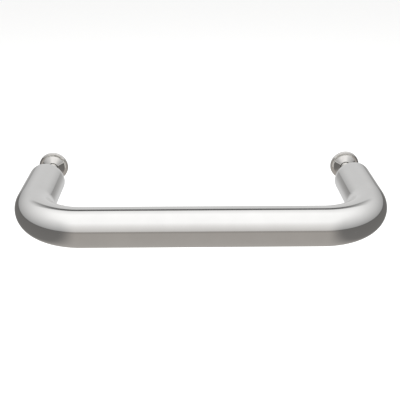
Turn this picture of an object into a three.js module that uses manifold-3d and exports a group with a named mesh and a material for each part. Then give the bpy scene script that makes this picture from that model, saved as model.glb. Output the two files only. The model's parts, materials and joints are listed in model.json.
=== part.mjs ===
// Pool handrail: a handle bent from one stainless tube and clamped through a wall at both ends.
//
// Frame, in millimetres: +X runs along the handle bar from the left leg to the right leg, +Y points
// from the swimmer into the wall, and +Z is up. The origin lies on the wall's front face, midway
// between the two legs. The bar is in front of the wall, and the clamping hardware is behind it.
import * as THREE from 'three';
import { mergeVertices } from 'three/addons/utils/BufferGeometryUtils.js';
import Module from 'manifold-3d';

const wasm = await Module();
wasm.setup();

// The handle's tube
const TUBE_RADIUS = 21.5;
const TUBE_WALL = 1.5;
const LEG_SPACING = 372;
const BEND_RADIUS = 59.5;
const REACH = 125; // from the bar's axis to the leg's end

// The wall that the handle is clamped to, as drawn
const WALL_THICKNESS = 40;

// M12 threads and the clearance that separate pieces keep
const STUD_RADIUS = 6;
const STUD_CHAMFER = 1.1;
const GAP = 0.3;
const BORE_RADIUS = STUD_RADIUS + GAP;

// Fixings, in the order in which they sit along +Y
const WELD_NUT_LENGTH = 22;
const STUD_INSET = 2; // how far the stud stops short of the weld nut's far end
const END_PLATE_THICKNESS = 5;
const SEAL_POCKET_DEPTH = 2.4;
const SEAL_CORD_RADIUS = 0.9;
const GASKET_RADIUS = 20;
const GASKET_THICKNESS = 2;
const BACKING_RADIUS = 18;
const BACKING_THICKNESS = 3.5;
const BACKING_CREST_RADIUS = 16; // the flat top of the rim ends here
const BACKING_BEVEL_RADIUS = 17.5; // and the rim's bevel ends here
const BACKING_BEVEL_DROP = 0.46;
const BACKING_EDGE_RADIUS = 0.5;
const CONE_RADIUS = 14;
const CONE_TIP_RADIUS = 6.8;
const CONE_RISE = 4.2; // from the rim's flat top towards the leg
const SPRING_INNER_RADIUS = 6.5;
const SPRING_OUTER_RADIUS = 10.5;
const SPRING_THICKNESS = 2.5;
const SPRING_LIFT = 0.6; // how far one end of the split ring stands proud of the other
const SPRING_HALF_SLIT = 0.12; // radians
const NUT_ACROSS_FLATS = 19;
const NUT_CORNER_RADIUS = NUT_ACROSS_FLATS / Math.sqrt(3);
const NUT_THICKNESS = 10;
const NUT_CHAMFER = 1;
const NUT_FACE_INSET = 0.2; // how far each round end face lies inside the flats
const STUD_BACK = 63;

// How finely round shapes are cut
const TUBE_HALF_SIDES = 16;
const BEND_STEPS = 10;
const ROUND_SIDES = 28;
const BACKING_SIDES = 36;
const BORE_HALF_SIDES = 12;

// Places along +Y, worked out from the sizes above
const GASKET_FRONT = -GASKET_THICKNESS;
const LEG_END = GASKET_FRONT - GAP;
const BAR_Y = LEG_END - REACH;
const PLATE_FRONT = LEG_END - END_PLATE_THICKNESS;
const WELD_NUT_FRONT = PLATE_FRONT - GAP - WELD_NUT_LENGTH;
const SPRING_FRONT = WALL_THICKNESS + BACKING_THICKNESS + GAP;
const NUT_FRONT = SPRING_FRONT + SPRING_THICKNESS + SPRING_LIFT + GAP;

const STEEL = { color: 0xc9c6c1, roughness: 0.18, metalness: 1 };
const PLAIN_STEEL = { color: 0xb4b2ae, roughness: 0.35, metalness: 1 };
const GASKET_RUBBER = { color: 0xcecdc9, roughness: 0.8, metalness: 0 };
const SEAL_RUBBER = { color: 0x23231f, roughness: 0.6, metalness: 0 };

// The U-shaped centreline. Its steps gather on the two bends, and each straight run is one step.
class HandleLine extends THREE.Curve {
  constructor() {
    super();
    this.stations = [];
    this.addStation(-LEG_SPACING / 2, LEG_END, 0, -1);
    this.addBend(-1);
    this.addBend(1);
    this.addStation(LEG_SPACING / 2, LEG_END, 0, 1);
  }

  addStation(x, y, tangentX, tangentY) {
    this.stations.push({
      point: new THREE.Vector3(x, y, 0),
      tangent: new THREE.Vector3(tangentX, tangentY, 0).normalize(),
    });
  }

  // side is -1 for the left bend, which leads into the bar, and 1 for the right one, out of it.
  addBend(side) {
    const centreX = side * (LEG_SPACING / 2 - BEND_RADIUS);
    const centreY = BAR_Y + BEND_RADIUS;
    for (let step = 0; step <= BEND_STEPS; step += 1) {
      const turned = (step / BEND_STEPS) * (Math.PI / 2);
      const angle = side < 0 ? Math.PI + turned : 1.5 * Math.PI + turned;
      const x = centreX + BEND_RADIUS * Math.cos(angle);
      const y = centreY + BEND_RADIUS * Math.sin(angle);
      this.addStation(x, y, -Math.sin(angle), Math.cos(angle));
    }
  }

  get steps() {
    return this.stations.length - 1;
  }

  stationAt(u) {
    return this.stations[Math.round(u * this.steps)];
  }

  getPointAt(u, target = new THREE.Vector3()) {
    return target.copy(this.stationAt(u).point);
  }

  getTangentAt(u, target = new THREE.Vector3()) {
    return target.copy(this.stationAt(u).tangent);
  }
}

function railTube() {
  const section = new THREE.Shape().absarc(0, 0, TUBE_RADIUS, 0, 2 * Math.PI, false);
  section.holes.push(new THREE.Path().absarc(0, 0, TUBE_RADIUS - TUBE_WALL, 0, 2 * Math.PI, true));
  const line = new HandleLine();
  return new THREE.ExtrudeGeometry(section, {
    steps: line.steps,
    curveSegments: TUBE_HALF_SIDES,
    extrudePath: line,
  });
}

// A round piece about the leg's axis. The profile lists [radius, y] pairs.
function turned(profile, sides = ROUND_SIDES) {
  return new THREE.LatheGeometry(profile.map(([radius, y]) => new THREE.Vector2(radius, y)), sides);
}

// A ring's profile, closed on itself.
function ringProfile(innerRadius, outerRadius, front, back) {
  return [
    [innerRadius, front],
    [outerRadius, front],
    [outerRadius, back],
    [innerRadius, back],
    [innerRadius, front],
  ];
}

function endPlate() {
  const pocketRadius = BORE_RADIUS + 2 * SEAL_CORD_RADIUS + GAP;
  const plateRadius = TUBE_RADIUS - TUBE_WALL - GAP;
  return turned([
    [BORE_RADIUS, PLATE_FRONT],
    [plateRadius, PLATE_FRONT],
    [plateRadius, LEG_END],
    [pocketRadius, LEG_END],
    [pocketRadius, LEG_END - SEAL_POCKET_DEPTH],
    [BORE_RADIUS, LEG_END - SEAL_POCKET_DEPTH],
    [BORE_RADIUS, PLATE_FRONT],
  ]);
}

function studSeal() {
  const centreRadius = BORE_RADIUS + SEAL_CORD_RADIUS;
  const centreY = LEG_END - SEAL_POCKET_DEPTH + GAP + SEAL_CORD_RADIUS;
  const cordSides = 8;
  const profile = [];
  for (let side = 0; side <= cordSides; side += 1) {
    const angle = (side % cordSides) * ((2 * Math.PI) / cordSides);
    const radius = centreRadius + SEAL_CORD_RADIUS * Math.cos(angle);
    profile.push([radius, centreY + SEAL_CORD_RADIUS * Math.sin(angle)]);
  }
  return turned(profile);
}

function stud() {
  const front = WELD_NUT_FRONT + STUD_INSET;
  const back = STUD_BACK;
  const tipRadius = STUD_RADIUS - STUD_CHAMFER;
  return turned([
    [0, front],
    [tipRadius, front],
    [STUD_RADIUS, front + STUD_CHAMFER],
    [STUD_RADIUS, back - STUD_CHAMFER],
    [tipRadius, back],
    [0, back],
  ], 2 * BORE_HALF_SIDES);
}

function wallGasket() {
  return turned(ringProfile(BORE_RADIUS, GASKET_RADIUS, GASKET_FRONT, 0));
}

// A disc whose flat rim bears on the back of the wall, round a cone that centres in the wall's hole.
function backingWasher() {
  const front = WALL_THICKNESS;
  const back = front + BACKING_THICKNESS;
  const tip = front - CONE_RISE;
  const edgeSteps = 3;
  const backBevel = 0.5;
  const profile = [
    [BORE_RADIUS, tip],
    [CONE_TIP_RADIUS, tip],
    [CONE_RADIUS, front],
    [BACKING_CREST_RADIUS, front],
  ];
  for (let step = 0; step <= edgeSteps; step += 1) {
    const angle = (step / edgeSteps) * (Math.PI / 2);
    const radius = BACKING_BEVEL_RADIUS + BACKING_EDGE_RADIUS * Math.sin(angle);
    const drop = BACKING_BEVEL_DROP + BACKING_EDGE_RADIUS * (1 - Math.cos(angle));
    profile.push([radius, front + drop]);
  }
  profile.push([BACKING_RADIUS, back - backBevel], [BACKING_RADIUS - backBevel, back]);
  profile.push([BORE_RADIUS, back], [BORE_RADIUS, tip]);
  return turned(profile, BACKING_SIDES);
}

// A flat shape drawn across the leg's axis and made thick along +Y.
function plate(shape, front, thickness, halfSides) {
  const options = { depth: thickness, bevelEnabled: false, curveSegments: halfSides };
  const geometry = new THREE.ExtrudeGeometry(shape, options);
  geometry.rotateX(-Math.PI / 2);
  geometry.translate(0, front, 0);
  return geometry;
}

// A split ring whose two ends stand apart, as on a spring lock washer that isn't yet tight.
function springWasher() {
  const start = SPRING_HALF_SLIT;
  const end = 2 * Math.PI - SPRING_HALF_SLIT;
  const shape = new THREE.Shape();
  shape.absarc(0, 0, SPRING_OUTER_RADIUS, start, end, false);
  shape.absarc(0, 0, SPRING_INNER_RADIUS, end, start, true);
  const geometry = plate(shape, SPRING_FRONT, SPRING_THICKNESS, BORE_HALF_SIDES);
  const places = geometry.getAttribute('position');
  for (let index = 0; index < places.count; index += 1) {
    const angle = Math.atan2(-places.getZ(index), places.getX(index));
    const turnedPart = ((angle + 2 * Math.PI) % (2 * Math.PI)) / (2 * Math.PI);
    places.setY(index, places.getY(index) + SPRING_LIFT * turnedPart);
  }
  return geometry;
}

function toSolid(geometry) {
  const bare = geometry.clone();
  bare.deleteAttribute('normal');
  bare.deleteAttribute('uv');
  const merged = mergeVertices(bare, 1e-4);
  const vertProperties = new Float32Array(merged.getAttribute('position').array);
  const triVerts = new Uint32Array(merged.getIndex().array);
  return new wasm.Manifold(new wasm.Mesh({ numProp: 3, vertProperties, triVerts }));
}

function toGeometry(solid) {
  const mesh = solid.getMesh();
  const geometry = new THREE.BufferGeometry();
  geometry.setAttribute('position', new THREE.BufferAttribute(mesh.vertProperties, 3));
  geometry.setIndex(new THREE.BufferAttribute(mesh.triVerts, 1));
  geometry.computeVertexNormals();
  return geometry;
}

function hexagon() {
  const corners = [];
  for (let corner = 0; corner < 6; corner += 1) {
    const angle = (corner / 6) * 2 * Math.PI;
    const x = NUT_CORNER_RADIUS * Math.cos(angle);
    corners.push(new THREE.Vector2(x, NUT_CORNER_RADIUS * Math.sin(angle)));
  }
  return new THREE.Shape(corners);
}

// A hexagon nut with a flat on top, whose corners are turned down at both ends.
function hexNut(front, thickness) {
  const faceRadius = NUT_ACROSS_FLATS / 2 - NUT_FACE_INSET;
  const back = front + thickness;
  const outline = hexagon();
  outline.holes.push(new THREE.Path().absarc(0, 0, BORE_RADIUS, 0, 2 * Math.PI, true));
  const prism = toSolid(plate(outline, front, thickness, BORE_HALF_SIDES));
  const turnedBlank = toSolid(turned([
    [0, front],
    [faceRadius, front],
    [NUT_CORNER_RADIUS, front + NUT_CHAMFER],
    [NUT_CORNER_RADIUS, back - NUT_CHAMFER],
    [faceRadius, back],
    [0, back],
  ], 2 * BORE_HALF_SIDES));
  return toGeometry(prism.intersect(turnedBlank));
}

const root = new THREE.Group();

function addPiece(parent, name, geometry, finish) {
  const mesh = new THREE.Mesh(geometry, new THREE.MeshStandardMaterial(finish));
  mesh.name = name;
  parent.add(mesh);
}

// The pieces at one end of the handle, drawn about the leg's axis and moved out to the leg.
function addFixings(side, legX) {
  const end = new THREE.Group();
  end.position.x = legX;
  addPiece(end, `${side}_weld_nut`, hexNut(WELD_NUT_FRONT, WELD_NUT_LENGTH), PLAIN_STEEL);
  addPiece(end, `${side}_end_plate`, endPlate(), PLAIN_STEEL);
  addPiece(end, `${side}_stud_seal`, studSeal(), SEAL_RUBBER);
  addPiece(end, `${side}_stud`, stud(), PLAIN_STEEL);
  addPiece(end, `${side}_wall_gasket`, wallGasket(), GASKET_RUBBER);
  addPiece(end, `${side}_backing_washer`, backingWasher(), STEEL);
  addPiece(end, `${side}_spring_washer`, springWasher(), PLAIN_STEEL);
  addPiece(end, `${side}_clamp_nut`, hexNut(NUT_FRONT, NUT_THICKNESS), PLAIN_STEEL);
  root.add(end);
}

addPiece(root, 'rail_tube', railTube(), STEEL);
addFixings('left', -LEG_SPACING / 2);
addFixings('right', LEG_SPACING / 2);

export default root;
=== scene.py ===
"""Looks of a pool handrail: a polished tube handle, clamped through a wall at both ends.

Everything is in metres in the part's own frame: +X along the bar, +Y from the user into the wall,
+Z up, with the origin on the wall's front face midway between the two legs.
"""
import json
import math

import bmesh
import bpy
from mathutils import Matrix, Vector


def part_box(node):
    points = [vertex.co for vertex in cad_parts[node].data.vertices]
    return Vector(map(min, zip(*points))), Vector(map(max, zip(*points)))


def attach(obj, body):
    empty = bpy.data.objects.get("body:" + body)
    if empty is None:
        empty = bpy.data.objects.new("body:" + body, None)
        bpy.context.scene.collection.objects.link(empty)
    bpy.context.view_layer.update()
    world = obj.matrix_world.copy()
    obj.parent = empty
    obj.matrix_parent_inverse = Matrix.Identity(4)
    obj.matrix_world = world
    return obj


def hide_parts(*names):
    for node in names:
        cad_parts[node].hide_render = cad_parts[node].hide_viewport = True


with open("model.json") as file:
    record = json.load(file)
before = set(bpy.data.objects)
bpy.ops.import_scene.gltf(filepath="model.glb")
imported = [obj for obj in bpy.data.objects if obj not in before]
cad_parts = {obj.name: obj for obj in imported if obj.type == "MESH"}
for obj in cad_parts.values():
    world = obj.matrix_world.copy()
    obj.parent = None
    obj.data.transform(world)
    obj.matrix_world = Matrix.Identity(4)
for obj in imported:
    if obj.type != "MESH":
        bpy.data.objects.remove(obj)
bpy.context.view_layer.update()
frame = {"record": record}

MM = 0.001
TURN = 2 * math.pi

# Sizes that the frame gives
RAIL_LOW, RAIL_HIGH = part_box("rail_tube")
TUBE_RADIUS = (RAIL_HIGH.z - RAIL_LOW.z) / 2
LEG_X = RAIL_HIGH.x - TUBE_RADIUS
LEG_END = RAIL_HIGH.y
BAR_Y = RAIL_LOW.y + TUBE_RADIUS

# Sizes that the frame doesn't give as a box
TUBE_WALL = 1.5 * MM
BEND_RADIUS = 59.5 * MM
GAP = 0.3 * MM
PITCH = 1.75 * MM
THREAD_DEPTH = 0.6134 * PITCH
THREAD_CLEARANCE = 0.08 * MM
FLANK = math.tan(math.radians(30))
STUD_RADIUS = 6 * MM
BORE_RADIUS = STUD_RADIUS + GAP
SHANK_BACK = 37.0 * MM  # the plain shank ends here and the rear thread runs out
RUN_OUT = 1.8 * MM
NUT_THREAD_RADIUS = 5.1 * MM
CONE_RADIUS = 14 * MM
CONE_TIP_RADIUS = 6.8 * MM
CONE_RISE = 4.2 * MM  # from the rim's flat top towards the leg
CREST_RADIUS = 16 * MM
RIM_BEVEL_RADIUS = 17.5 * MM
RIM_BEVEL_DROP = 0.46 * MM
RIM_BEVEL_DEGREES = 17

ROUND_SIDES = 96
THREAD_SIDES = 64
THREAD_ROWS = 16  # rows of points in one pitch


# ---------------------------------------------------------------- meshes

def smoothstep(value, low, high):
    share = min(1, max(0, (value - low) / (high - low)))
    return share * share * (3 - 2 * share)


def skin(name, rows, closed=False, sharp=40):
    """A mesh through rows of points. Each row closes on itself, and a row of one point is a pole."""
    mesh = bpy.data.meshes.new(name)
    build = bmesh.new()
    rings = [[build.verts.new(point) for point in row] for row in rows]
    following = rings[1:] + rings[:1] if closed else rings[1:]
    for ring, after in zip(rings, following):
        count = max(len(ring), len(after))
        for index in range(count):
            near = (index + 1) % count
            if len(ring) == 1:
                build.faces.new((ring[0], after[near], after[index]))
            elif len(after) == 1:
                build.faces.new((ring[index], ring[near], after[0]))
            else:
                build.faces.new((ring[index], ring[near], after[near], after[index]))
    if not closed:
        for end in (rings[0], rings[-1]):
            if len(end) > 1:
                build.faces.new(end)
    bmesh.ops.recalc_face_normals(build, faces=build.faces)
    build.to_mesh(mesh)
    build.free()
    mesh.shade_smooth()
    mesh.set_sharp_from_angle(angle=math.radians(sharp))
    return mesh


def place(name, mesh, body, material, stands_for, axis_x=0.0):
    """The mesh as a piece about the axis at axis_x, on its body, in place of a CAD node."""
    piece = bpy.data.objects.new(name, mesh)
    piece.location.x = axis_x
    bpy.context.scene.collection.objects.link(piece)
    mesh.materials.append(MATERIALS[material])
    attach(piece, body)
    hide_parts(stands_for)
    return piece


def around(radius, y, angle):
    return Vector((radius * math.cos(angle), y, radius * math.sin(angle)))


def corner(centre, radius, start, end, steps=6):
    """Points of an arc in a (radius, y) profile. Angles are in degrees from the radial direction."""
    points = []
    for step in range(steps + 1):
        angle = math.radians(start + (end - start) * step / steps)
        points.append((centre[0] + radius * math.cos(angle), centre[1] + radius * math.sin(angle)))
    return points


def turned(name, profile, sides=ROUND_SIDES, sharp=40):
    """A ring turned from a closed profile of (radius, y) points."""
    rows = [[around(radius, y, TURN * side / sides) for side in range(sides)] for radius, y in profile]
    return skin(name, rows, closed=True, sharp=sharp)


def washer_profile(inner, outer, front, back, edge):
    """A flat ring's profile whose four corners have the radius edge."""
    return (
        corner((outer - edge, front + edge), edge, -90, 0)
        + corner((outer - edge, back - edge), edge, 0, 90)
        + corner((inner + edge, back - edge), edge, 90, 180)
        + corner((inner + edge, front + edge), edge, 180, 270)
    )


def from_crest(angle, y):
    """Distance along the axis from the nearest thread crest. A crest climbs along +Y, right-handed."""
    turned_share = math.atan2(math.cos(angle), math.sin(angle)) / TURN
    phase = (y / PITCH - turned_share) % 1
    return min(phase, 1 - phase) * PITCH


def outer_thread(angle, y):
    drop = max(0, from_crest(angle, y) - PITCH / 16) / FLANK
    return STUD_RADIUS - min(drop, THREAD_DEPTH)


def inner_thread(angle, y):
    drop = max(0, from_crest(angle, y) - PITCH / 16 - THREAD_CLEARANCE) / FLANK
    return max(NUT_THREAD_RADIUS, STUD_RADIUS + THREAD_CLEARANCE - drop)


def steps_between(start, end, step):
    count = max(1, round((end - start) / step))
    return [start + (end - start) * index / count for index in range(count + 1)]


# ---------------------------------------------------------------- pieces

def centreline():
    """Stations along the handle's centreline: place, direction across it in plan, and length so far."""
    stations = []
    bend_y = BAR_Y + BEND_RADIUS
    bend_x = LEG_X - BEND_RADIUS
    leg_steps, bend_steps, bar_steps = 10, 48, 16
    quarter = math.pi / 2
    for step in range(leg_steps):
        y = LEG_END + (bend_y - LEG_END) * step / leg_steps
        stations.append((-LEG_X, y, -1.0, 0.0))
    for step in range(bend_steps):
        angle = math.pi + quarter * step / bend_steps
        out = (math.cos(angle), math.sin(angle))
        stations.append((-bend_x + BEND_RADIUS * out[0], bend_y + BEND_RADIUS * out[1], *out))
    for step in range(bar_steps):
        stations.append((-bend_x + 2 * bend_x * step / bar_steps, BAR_Y, 0.0, -1.0))
    for step in range(bend_steps):
        angle = math.pi + quarter + quarter * step / bend_steps
        out = (math.cos(angle), math.sin(angle))
        stations.append((bend_x + BEND_RADIUS * out[0], bend_y + BEND_RADIUS * out[1], *out))
    for step in range(leg_steps + 1):
        y = bend_y + (LEG_END - bend_y) * step / leg_steps
        stations.append((LEG_X, y, 1.0, 0.0))
    length = 0.0
    measured = []
    for index, station in enumerate(stations):
        if index:
            length += math.dist(station[:2], stations[index - 1][:2])
        measured.append((*station, length))
    return measured


def rail_tube():
    """The whole bent tube, hollow, with rounded lips at its two open ends."""
    line = centreline()
    inner = TUBE_RADIUS - TUBE_WALL
    lip = 0.45 * MM
    rows, marks = [], []

    def add(station, radius, inset=0.0):
        x, y, out_x, out_y, length = station
        row = []
        for side in range(ROUND_SIDES):
            angle = TURN * side / ROUND_SIDES
            across = radius * math.cos(angle)
            row.append(Vector((x + across * out_x, y + across * out_y - inset, radius * math.sin(angle))))
            marks.append((math.cos(angle), math.sin(angle), length / TUBE_RADIUS))
        rows.append(row)

    def add_lip(station, from_radius, to_radius):
        direction = 1 if to_radius > from_radius else -1
        for step in range(5):
            angle = math.radians(90 * step / 4)
            inset = lip * (1 - math.sin(angle))
            add(station, from_radius + direction * lip * (1 - math.cos(angle)), inset)
        for step in range(5):
            angle = math.radians(90 * step / 4)
            inset = lip * (1 - math.cos(angle))
            add(station, to_radius - direction * lip * (1 - math.sin(angle)), inset)

    add_lip(line[0], inner, TUBE_RADIUS)
    for station in line[1:-1]:
        add(station, TUBE_RADIUS)
    add_lip(line[-1], TUBE_RADIUS, inner)
    for station in reversed(line[1:-1]):
        add(station, inner)
    mesh = skin("polished_rail_tube", rows, closed=True, sharp=60)
    attribute = mesh.attributes.new("polish", "FLOAT_VECTOR", "POINT")
    attribute.data.foreach_set("vector", [value for mark in marks for value in mark])
    return mesh


def threaded_stud(name, front, back):
    """A double-ended stud: a plain polished shank between two rolled threads with chamfered ends."""
    chamfer = 1.1 * MM
    front_thread_end = LEG_END - 2 * MM
    rows_in_mm = PITCH / THREAD_ROWS
    heights = steps_between(front, front_thread_end, rows_in_mm)
    heights += steps_between(front_thread_end, SHANK_BACK, 2.5 * MM)[1:]
    heights += steps_between(SHANK_BACK, back, rows_in_mm)[1:]
    rows = [[Vector((0, front, 0))]]
    for y in heights:
        depth_share = max(
            smoothstep(y, SHANK_BACK, SHANK_BACK + RUN_OUT),
            1 - smoothstep(y, front_thread_end - RUN_OUT, front_thread_end),
        )
        end_limit = STUD_RADIUS - chamfer + min(y - front, back - y)
        row = []
        for side in range(THREAD_SIDES):
            angle = TURN * side / THREAD_SIDES
            radius = STUD_RADIUS - (STUD_RADIUS - outer_thread(angle, y)) * depth_share
            row.append(around(min(radius, end_limit), y, angle))
        rows.append(row)
    rows.append([Vector((0, back, 0))])
    return skin(name, rows, sharp=35)


def hexagon_outline(across_flats, rounding):
    """(angle, radius) of points round a hexagon with rounded corners, which lie along +X and -X."""
    outline = []
    centre_radius = (across_flats / 2 - rounding) / math.cos(math.radians(30))
    corner_steps, flat_steps = 4, 12
    for side in range(6):
        middle = side * TURN / 6
        points = []
        for step in range(corner_steps + 1):
            angle = middle + math.radians(-30 + 60 * step / corner_steps)
            points.append(Vector((
                centre_radius * math.cos(middle) + rounding * math.cos(angle),
                centre_radius * math.sin(middle) + rounding * math.sin(angle),
            )))
        following = middle + TURN / 6
        start = following - math.radians(30)
        end = Vector((
            centre_radius * math.cos(following) + rounding * math.cos(start),
            centre_radius * math.sin(following) + rounding * math.sin(start),
        ))
        points += [points[-1].lerp(end, step / flat_steps) for step in range(1, flat_steps)]
        outline += [(math.atan2(point.y, point.x), point.length) for point in points]
    return outline


def hex_nut(name, front, back):
    """A hexagon nut: turned 30 degree chamfers at both faces, a countersunk bore and a real thread."""
    across_flats = 19 * MM
    face_radius = across_flats / 2 - 0.2 * MM
    chamfer_slope = 0.6
    sink_radius = BORE_RADIUS + 0.1 * MM
    outline = hexagon_outline(across_flats, 0.35 * MM)
    flat_steps = 6

    def outer_row(share):
        row = []
        for angle, radius in outline:
            drop = max(0, radius - face_radius) * chamfer_slope
            low, high = front + drop, back - drop
            row.append(around(radius, low + (high - low) * share, angle))
        return row

    def round_row(radius, y):
        return [around(radius, y, angle) for angle, _ in outline]

    def face_rows(y, direction):
        """From the bore's edge to where the chamfer starts, with the chamfer's first half."""
        rows = [round_row(sink_radius + 0.05 * MM, y), round_row((sink_radius + face_radius) / 2, y)]
        rows.append(round_row(face_radius - 0.15 * MM, y))
        halfway = []
        for angle, radius in outline:
            middle = face_radius + (radius - face_radius) / 2
            drop = max(0, middle - face_radius) * chamfer_slope
            halfway.append(around(max(face_radius, middle), y + direction * drop, angle))
        rows.append(halfway)
        return rows

    bore = []
    for y in steps_between(back, front, -PITCH / THREAD_ROWS):
        sink = sink_radius - min(y - front, back - y) * 1.1
        bore.append([around(max(inner_thread(angle, y), sink), y, angle) for angle, _ in outline])
    rows = face_rows(front, 1)
    rows += [outer_row(step / flat_steps) for step in range(flat_steps + 1)]
    rows += reversed(face_rows(back, -1))
    return skin(name, rows + bore, closed=True, sharp=32)


def backing_washer(name, tip, back):
    """A turned disc: a flat-topped, bevelled rim that bears on the wall, round a polished cone."""
    front = tip + CONE_RISE
    outer = 18 * MM
    edge = 0.5 * MM
    crest_edge = 0.25 * MM
    bore_chamfer = 0.3 * MM
    profile = [(BORE_RADIUS + bore_chamfer, tip)]
    cone_steps = 12
    for step in range(cone_steps + 1):
        share = step / cone_steps
        profile.append((CONE_TIP_RADIUS + (CONE_RADIUS - CONE_TIP_RADIUS) * share, tip + CONE_RISE * share))
    profile += [(CREST_RADIUS - crest_edge, front), (CREST_RADIUS, front + 0.02 * MM)]
    bevel_steps = 4
    for step in range(1, bevel_steps):
        share = step / bevel_steps
        radius = CREST_RADIUS + (RIM_BEVEL_RADIUS - CREST_RADIUS) * share
        profile.append((radius, front + RIM_BEVEL_DROP * share))
    profile += corner((outer - edge, front + RIM_BEVEL_DROP + edge), edge, RIM_BEVEL_DEGREES - 90, 0,
                      steps=8)
    profile += corner((outer - edge, back - edge), edge, 0, 90, steps=5)
    profile += [(12 * MM, back), (BORE_RADIUS + bore_chamfer, back)]
    profile.append((BORE_RADIUS, back - bore_chamfer))
    profile.append((BORE_RADIUS, profile[0][1] + bore_chamfer))
    return turned(name, profile, sides=128, sharp=24)


def spring_washer(name, front):
    """A split ring of square wire wound into one turn of a helix, with slanted ends."""
    half_slit, lift, thickness = 0.12, 0.6 * MM, 2.5 * MM
    slant = 0.05
    section = washer_profile(6.5 * MM, 10.5 * MM, 0, thickness, 0.3 * MM)
    steps = 90
    rows = []
    for step in range(steps + 1):
        angle = half_slit + (TURN - 2 * half_slit) * step / steps
        row = []
        for radius, height in section:
            leaned = angle + slant * (height / thickness - 0.5)
            y = front + height + lift * angle / TURN
            row.append(Vector((radius * math.cos(leaned), y, -radius * math.sin(leaned))))
        rows.append(row)
    return skin(name, rows, sharp=45)


def end_plate(name, front, back):
    """The plate in the leg's end, bevelled for its weld, with a square pocket for the seal."""
    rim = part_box("left_end_plate")
    outer = (rim[1].z - rim[0].z) / 2
    pocket_radius = BORE_RADIUS + 2.1 * MM
    pocket = back - 2.4 * MM
    bevel = 0.6 * MM
    profile = [(BORE_RADIUS, front + 0.3 * MM), (BORE_RADIUS + 0.3 * MM, front)]
    profile += [(outer - bevel, front), (outer, front + bevel), (outer, back - bevel)]
    profile += [(outer - bevel, back), (pocket_radius + 0.2 * MM, back), (pocket_radius, back - 0.2 * MM)]
    profile += [(pocket_radius, pocket + 0.1 * MM), (pocket_radius - 0.1 * MM, pocket)]
    profile += [(BORE_RADIUS, pocket)]
    return turned(name, profile)


def seal_ring(name, centre_y):
    cord = 0.9 * MM
    return turned(name, corner((BORE_RADIUS + cord, centre_y), cord, 0, 345, steps=23))


def wall_gasket(name, front, back):
    return turned(name, washer_profile(BORE_RADIUS, 20 * MM, front, back, 0.45 * MM))


# ---------------------------------------------------------------- materials

def add_node(tree, kind, inputs=None, **settings):
    """A node with its settings. Inputs are values, or sockets to link from, by name or number."""
    node = tree.nodes.new(kind)
    for key, value in settings.items():
        setattr(node, key, value)
    for key, value in (inputs or {}).items():
        if isinstance(value, bpy.types.NodeSocket):
            tree.links.new(value, node.inputs[key])
        else:
            node.inputs[key].default_value = value
    return node


def calculate(tree, operation, first, second=0.0, third=0.0):
    inputs = {0: first, 1: second, 2: third}
    return add_node(tree, "ShaderNodeMath", inputs, operation=operation).outputs[0]


def spread(tree, value, low, high, from_low=0.0, from_high=1.0):
    inputs = {0: value, 1: from_low, 2: from_high, 3: low, 4: high}
    return add_node(tree, "ShaderNodeMapRange", inputs).outputs[0]


def noise(tree, vector, scale, detail=3.0, roughness=0.5):
    inputs = {"Vector": vector, "Scale": scale, "Detail": detail, "Roughness": roughness}
    return add_node(tree, "ShaderNodeTexNoise", inputs).outputs["Fac"]


def ramp(tree, value, stops):
    """A colour ramp. Stops are (place from 0 to 1, colour)."""
    node = add_node(tree, "ShaderNodeValToRGB", {0: value})
    elements = node.color_ramp.elements
    while len(elements) > 1:
        elements.remove(elements[-1])
    for index, (spot, colour) in enumerate(stops):
        element = elements[0] if index == 0 else elements.new(spot)
        element.position = spot
        element.color = (*colour, 1.0)
    return node.outputs["Color"]


def tint(colour, amount):
    return tuple(channel * amount for channel in colour)


def record_colour(slot):
    for material in frame["record"]["materials"]:
        if material["slot"] == slot:
            return tuple(material["base_color"])
    raise ValueError(slot)


def new_material(slot):
    material = bpy.data.materials.new(slot)
    material.use_nodes = True
    tree = material.node_tree
    return material, tree, tree.nodes["Principled BSDF"]


def stretched(tree, vector, scale):
    inputs = {0: vector, 1: scale}
    return add_node(tree, "ShaderNodeVectorMath", inputs, operation="MULTIPLY").outputs[0]


def bump(tree, shader, height, strength, distance, below=None):
    inputs = {"Height": height, "Strength": strength, "Distance": distance}
    if below is not None:
        inputs["Normal"] = below
    normal = add_node(tree, "ShaderNodeBump", inputs).outputs[0]
    tree.links.new(normal, shader.inputs["Normal"])
    return normal


def polished_tube():
    """Mirror polish: lines along the tube, handling smudges, and the bender's faint waviness."""
    slot = "polished_steel"
    material, tree, shader = new_material(slot)
    colour = record_colour(slot)
    marks = add_node(tree, "ShaderNodeAttribute", attribute_name="polish").outputs["Vector"]
    place_on = add_node(tree, "ShaderNodeTexCoord").outputs["Object"]
    lines = noise(tree, stretched(tree, marks, (55, 55, 0.9)), 1.0, detail=4, roughness=0.65)
    hairs = noise(tree, stretched(tree, marks, (170, 170, 2.2)), 1.0, detail=2)
    smudges = noise(tree, place_on, 38.0, detail=4, roughness=0.6)
    waves = noise(tree, place_on, 16.0, detail=1)
    tree.links.new(
        ramp(tree, smudges, [(0.3, tint(colour, 0.975)), (0.7, tint(colour, 1.02))]),
        shader.inputs["Base Color"],
    )
    polish = spread(tree, lines, 0.035, 0.095, 0.3, 0.75)
    handled = spread(tree, smudges, 0.0, 0.035, 0.52, 0.72)
    tree.links.new(calculate(tree, "ADD", polish, handled), shader.inputs["Roughness"])
    shader.inputs["Metallic"].default_value = 1.0
    wavy = bump(tree, shader, waves, 0.12, 0.0008)
    bump(tree, shader, calculate(tree, "MULTIPLY_ADD", lines, 0.5, hairs), 0.035, 0.0001, wavy)
    return material


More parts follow.
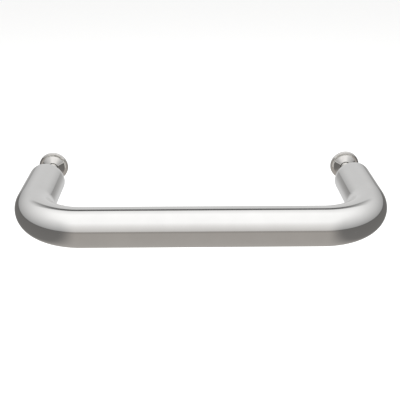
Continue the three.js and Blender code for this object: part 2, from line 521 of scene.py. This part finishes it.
def from_axis(tree):
    """The distance from the piece's own axis, and the place along it."""
    place_on = add_node(tree, "ShaderNodeTexCoord").outputs["Object"]
    parts = add_node(tree, "ShaderNodeSeparateXYZ", {0: place_on}).outputs
    square = calculate(tree, "ADD", calculate(tree, "MULTIPLY", parts[0], parts[0]),
                       calculate(tree, "MULTIPLY", parts[2], parts[2]))
    return calculate(tree, "SQRT", square), parts[1], place_on


def turned_steel(slot, roughness, groove_strength, mottle=0.03):
    """Turned steel: concentric tool marks, with roughness and colour that vary a little."""
    material, tree, shader = new_material(slot)
    colour = record_colour(slot)
    radius, along, place_on = from_axis(tree)
    rings = add_node(tree, "ShaderNodeCombineXYZ", {0: radius, 1: along, 2: 0.0}).outputs[0]
    grooves = noise(tree, rings, 5200.0, detail=3, roughness=0.7)
    patches = noise(tree, place_on, 210.0, detail=4, roughness=0.6)
    tree.links.new(
        ramp(tree, patches, [(0.3, tint(colour, 1 - 2 * mottle)), (0.7, tint(colour, 1 + mottle))]),
        shader.inputs["Base Color"],
    )
    low, high = roughness
    cut = spread(tree, grooves, low, high, 0.3, 0.7)
    worn = spread(tree, patches, -0.02, 0.05, 0.35, 0.7)
    tree.links.new(calculate(tree, "ADD", cut, worn), shader.inputs["Roughness"])
    shader.inputs["Metallic"].default_value = 1.0
    bump(tree, shader, grooves, groove_strength, 0.00006)
    return material


def spring_steel():
    """Drawn wire: long marks round the ring, and darker heat-treated patches."""
    slot = "spring_steel"
    material, tree, shader = new_material(slot)
    colour = record_colour(slot)
    radius, along, place_on = from_axis(tree)
    draws = add_node(tree, "ShaderNodeCombineXYZ", {0: radius, 1: along, 2: 0.0}).outputs[0]
    lines = noise(tree, draws, 3000.0, detail=4, roughness=0.7)
    patches = noise(tree, place_on, 320.0, detail=3)
    tree.links.new(
        ramp(tree, patches, [(0.3, tint(colour, 0.8)), (0.65, colour)]),
        shader.inputs["Base Color"],
    )
    tree.links.new(spread(tree, lines, 0.22, 0.42, 0.3, 0.7), shader.inputs["Roughness"])
    shader.inputs["Metallic"].default_value = 1.0
    bump(tree, shader, lines, 0.3, 0.00008)
    return material


def rubber(slot, roughness, grain):
    """Moulded rubber: fine pebbled skin, a dusty bloom in patches, and softer sheen on the worn parts."""
    material, tree, shader = new_material(slot)
    colour = record_colour(slot)
    place_on = add_node(tree, "ShaderNodeTexCoord").outputs["Object"]
    pebbles = noise(tree, place_on, 2600.0, detail=3, roughness=0.6)
    bloom = noise(tree, place_on, 150.0, detail=5, roughness=0.65)
    dusty = tuple(0.75 * channel + 0.04 for channel in colour)
    tree.links.new(
        ramp(tree, bloom, [(0.4, colour), (0.75, dusty)]),
        shader.inputs["Base Color"],
    )
    low, high = roughness
    tree.links.new(spread(tree, bloom, low, high, 0.3, 0.7), shader.inputs["Roughness"])
    bump(tree, shader, pebbles, grain, 0.00012)
    return material


def floor_material():
    material, tree, shader = new_material("studio_floor")
    shader.inputs["Base Color"].default_value = (0.93, 0.93, 0.925, 1)
    shader.inputs["Roughness"].default_value = 0.9
    shader.inputs["Specular IOR Level"].default_value = 0.1
    return material


MATERIALS = {
    "polished_steel": polished_tube(),
    "washer_steel": turned_steel("washer_steel", (0.04, 0.09), 0.02),
    "stud_steel": turned_steel("stud_steel", (0.05, 0.12), 0.02),
    "plain_steel": turned_steel("plain_steel", (0.24, 0.38), 0.25, mottle=0.05),
    "spring_steel": spring_steel(),
    "gasket_rubber": rubber("gasket_rubber", (0.62, 0.85), 0.35),
    "seal_rubber": rubber("seal_rubber", (0.45, 0.6), 0.15),
}


# ---------------------------------------------------------------- studio

def add_camera():
    """A camera in front of the handle and above it, aimed a little over the bar."""
    target = Vector((0, BAR_Y, 0))
    distance = 0.680
    elevation = math.radians(27.53)
    yaw = math.radians(-1.32)
    pitch = math.radians(-2.35)
    roll = math.radians(0.235)
    turned_left = math.radians(0.226)
    back = Vector((math.sin(yaw) * math.cos(elevation), -math.cos(yaw) * math.cos(elevation),
                   math.sin(elevation)))
    right = Vector((math.cos(yaw), math.sin(yaw), 0))
    up = back.cross(right)
    tilted_back = math.cos(pitch) * back + math.sin(pitch) * up
    tilted_up = -math.sin(pitch) * back + math.cos(pitch) * up
    rolled_right = math.cos(roll) * right + math.sin(roll) * tilted_up
    rolled_up = -math.sin(roll) * right + math.cos(roll) * tilted_up
    turn = Matrix.Rotation(turned_left, 3, rolled_up)
    axes = Matrix((turn @ rolled_right, rolled_up, turn @ tilted_back)).transposed()
    data = bpy.data.cameras.new("camera")
    data.lens = 58.5
    data.sensor_width = 36
    data.sensor_fit = "HORIZONTAL"
    data.clip_start = 0.01
    camera = bpy.data.objects.new("camera", data)
    camera.matrix_world = Matrix.Translation(target + distance * back) @ axes.to_4x4()
    bpy.context.scene.collection.objects.link(camera)
    bpy.context.scene.camera = camera


def add_floor():
    half_width, height = 6.0, -0.30
    mesh = bpy.data.meshes.new("studio_floor")
    corners = [(-half_width, -half_width), (half_width, -half_width), (half_width, half_width),
               (-half_width, half_width)]
    mesh.from_pydata([(x, y, height) for x, y in corners], [], [(0, 1, 2, 3)])
    mesh.materials.append(floor_material())
    floor = bpy.data.objects.new("studio_floor", mesh)
    floor.visible_glossy = False
    bpy.context.scene.collection.objects.link(floor)


def add_softbox():
    """A large soft light overhead. The world holds the bright field that the steel mirrors."""
    data = bpy.data.lights.new("softbox", "AREA")
    data.shape = "RECTANGLE"
    data.size = 2.4
    data.size_y = 1.6
    data.energy = 34
    light = bpy.data.objects.new("softbox", data)
    light.location = (0, -0.35, 1.7)
    light.rotation_euler = (math.radians(-10), 0, 0)
    light.visible_glossy = False
    bpy.context.scene.collection.objects.link(light)


def grey(value, warmth=0.0):
    return (value * (1 + warmth), value, value * (1 - warmth))


def add_world():
    """A plain white background to the camera. The steel mirrors a studio instead: an overhead light, a
    pale back wall with a dark gap between them, a front wall over a skirting, and a warm grey floor."""
    world = bpy.data.worlds.new("studio")
    bpy.context.scene.world = world
    world.use_nodes = True
    world.cycles.sampling_method = "NONE"
    tree = world.node_tree
    tree.nodes.clear()
    direction = add_node(tree, "ShaderNodeTexCoord").outputs["Generated"]
    parts = add_node(tree, "ShaderNodeSeparateXYZ", {0: direction}).outputs
    front = calculate(tree, "MULTIPLY", parts[1], -1.0)
    # 0 degrees is the front horizon, 90 the zenith and 180 the back horizon
    around_x = calculate(tree, "ARCTAN2", parts[2], front)
    middle_share = calculate(tree, "MULTIPLY_ADD", around_x, 1 / TURN, 0.5)
    middle = [
        (-180, grey(0.72)), (-150, grey(0.66)),  # back wall, below the horizon
        (-140, grey(0.44, 0.05)), (-12, grey(0.40, 0.06)),  # floor
        (-4, grey(0.33, 0.06)), (-1, grey(0.33, 0.06)),  # skirting along the front wall
        (2, grey(0.65, 0.02)), (30, grey(0.93, 0.01)),  # front wall, brighter towards the light
        (50, grey(1.2)), (100, grey(1.25)), (129, grey(0.95)),  # overhead light
        (132, grey(0.12)), (143, grey(0.12)),  # dark gap between the light and the back wall
        (147, grey(0.70)), (180, grey(0.74)),  # back wall
    ]
    middle_colour = ramp(tree, middle_share, [((angle + 180) / 360, colour) for angle, colour in middle])
    height = calculate(tree, "ARCSINE", parts[2])
    side_share = calculate(tree, "MULTIPLY_ADD", height, 1 / math.pi, 0.5)
    aside = [
        (-90, grey(0.20, 0.03)), (-3, grey(0.17, 0.03)),  # floor
        (-1, grey(0.11, 0.02)),  # skirting
        (2, grey(0.42)), (35, grey(0.82)),  # side walls
        (55, grey(1.1)), (90, grey(1.3)),  # overhead light
    ]
    side_colour = ramp(tree, side_share, [((angle + 90) / 180, colour) for angle, colour in aside])
    sideness = calculate(tree, "ABSOLUTE", parts[0])
    share = add_node(tree, "ShaderNodeMapRange", {0: sideness, 1: 0.20, 2: 0.62},
                     interpolation_type="SMOOTHSTEP").outputs[0]
    mirrored = add_node(tree, "ShaderNodeMix", {0: share, 6: middle_colour, 7: side_colour},
                        data_type="RGBA").outputs[2]
    glossy = add_node(tree, "ShaderNodeLightPath").outputs["Is Glossy Ray"]
    plain = add_node(tree, "ShaderNodeMix", {0: glossy, 6: (1.0, 1.0, 1.0, 1), 7: mirrored},
                     data_type="RGBA").outputs[2]
    background = add_node(tree, "ShaderNodeBackground", {"Color": plain, "Strength": 1.0})
    out = add_node(tree, "ShaderNodeOutputWorld")
    tree.links.new(background.outputs[0], out.inputs["Surface"])


# ---------------------------------------------------------------- assembly

def add_fixings(side, axis_x):
    """The pieces at one end, each over the CAD node whose place along the leg's axis it takes."""
    def reach(node):
        low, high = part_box(f"{side}_{node}")
        return low.y, high.y

    rail, washers, nut = "rail", f"{side}_washers", f"{side}_nut"
    stands = [
        ("hex_weld_nut", "weld_nut", rail, "plain_steel", hex_nut),
        ("bevelled_end_plate", "end_plate", rail, "plain_steel", end_plate),
        ("threaded_stud", "stud", rail, "stud_steel", threaded_stud),
        ("rubber_wall_gasket", "wall_gasket", rail, "gasket_rubber", wall_gasket),
        ("coned_backing_washer", "backing_washer", washers, "washer_steel", backing_washer),
        ("hex_clamp_nut", "clamp_nut", nut, "plain_steel", hex_nut),
    ]
    for name, node, body, material, build in stands:
        full_name = f"{side}_{name}"
        place(full_name, build(full_name, *reach(node)), body, material, f"{side}_{node}", axis_x)
    seal_name = f"{side}_rubber_stud_seal"
    seal = seal_ring(seal_name, sum(reach("stud_seal")) / 2)
    place(seal_name, seal, rail, "seal_rubber", f"{side}_stud_seal", axis_x)
    spring_name = f"{side}_split_spring_washer"
    spring = spring_washer(spring_name, reach("backing_washer")[1] + GAP)
    place(spring_name, spring, washers, "spring_steel", f"{side}_spring_washer", axis_x)


place("polished_rail_tube", rail_tube(), "rail", "polished_steel", "rail_tube")
add_fixings("left", -LEG_X)
add_fixings("right", LEG_X)
add_camera()
add_floor()
add_softbox()
add_world()
bpy.context.scene.view_settings.view_transform = "Standard"
